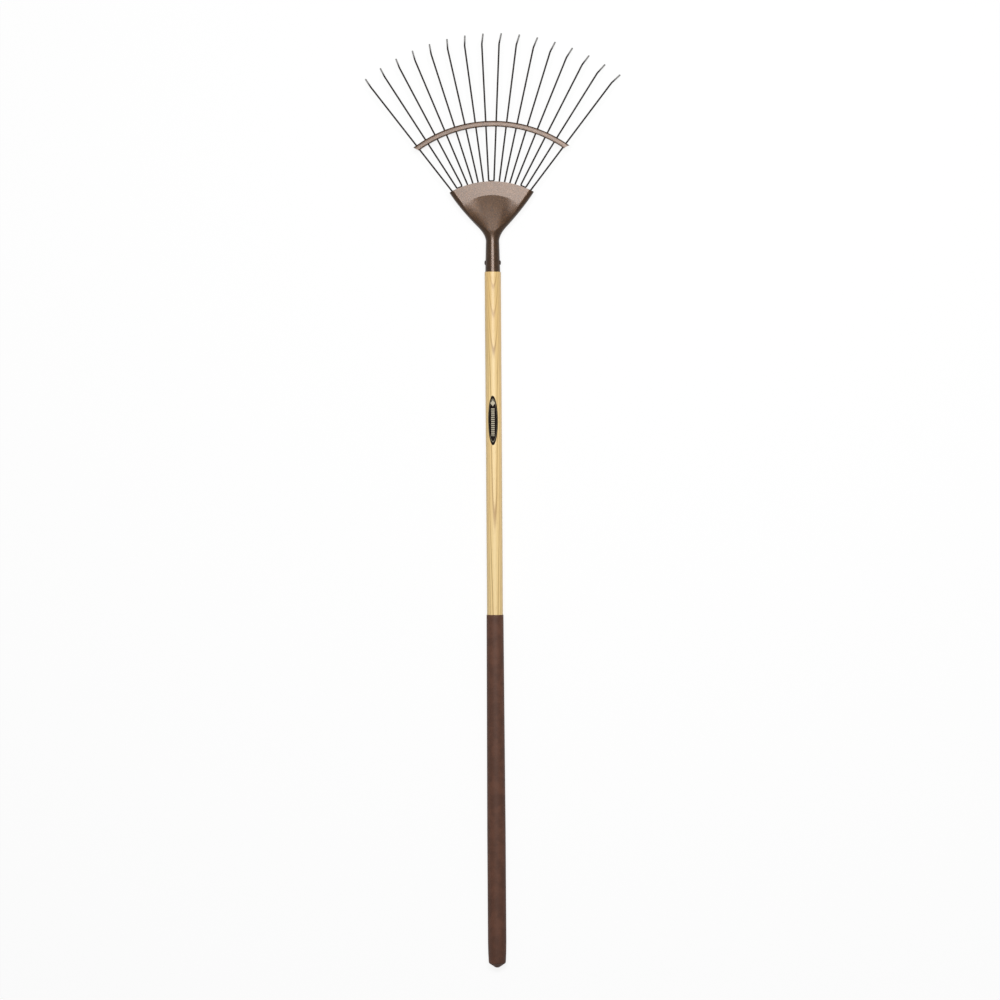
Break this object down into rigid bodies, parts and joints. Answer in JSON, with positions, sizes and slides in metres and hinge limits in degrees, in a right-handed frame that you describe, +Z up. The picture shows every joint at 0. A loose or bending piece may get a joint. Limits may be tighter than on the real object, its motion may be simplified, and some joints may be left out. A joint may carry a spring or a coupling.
{
  "type": "spring-tine rake",
  "caption": "Long-handled spring-tine rake: fan of hooked wire tines with a curved brace, dished steel head and socket, round ash shaft with a sleeved grip.",
  "frame": {"origin": "on the floor under the middle of the rake as it lies with its tips down", "axes": "+Y along the shaft towards the head, +X to the right, +Z up, away from the side that the tips point to"},
  "size_m": [0.4234, 1.5356, 0.0316],
  "materials": {
    "ash_wood": "satin lacquered ash",
    "grip_plastic": "fine-textured brown sleeve",
    "bronze_coat": "bronze-brown hammered powder coat",
    "spring_wire": "dark drawn spring wire",
    "rivet_black": "dark coated rivet",
    "label_film": "black printed film, no lettering"
  },
  "bodies": {
    "handle_and_head": {"ash_shaft": "ash_wood", "grip_sleeve": "grip_plastic", "handle_label": "label_film", "socket_rivet": "rivet_black", "head_pressing": "bronze_coat", "back_plate": "bronze_coat"},
    "tine_row": {"brace_bar": "bronze_coat", "hairpin_left": "spring_wire", "hairpin_centre": "spring_wire", "hairpin_right": "spring_wire", "tine_01": "spring_wire", "tine_04": "spring_wire", "tine_05": "spring_wire", "tine_06": "spring_wire", "tine_07": "spring_wire", "tine_10": "spring_wire", "tine_11": "spring_wire", "tine_12": "spring_wire", "tine_13": "spring_wire", "tine_16": "spring_wire"}
  },
  "joints": [
    {"name": "tine_flex", "type": "hinge", "parent": "handle_and_head", "child": "tine_row", "pos_m": [0, 0.50865, 0.02752], "axis": [1, 0, 0], "range_deg": [-2.5, 2.5], "stiffness_Nm_per_rad": 110}
  ]
}
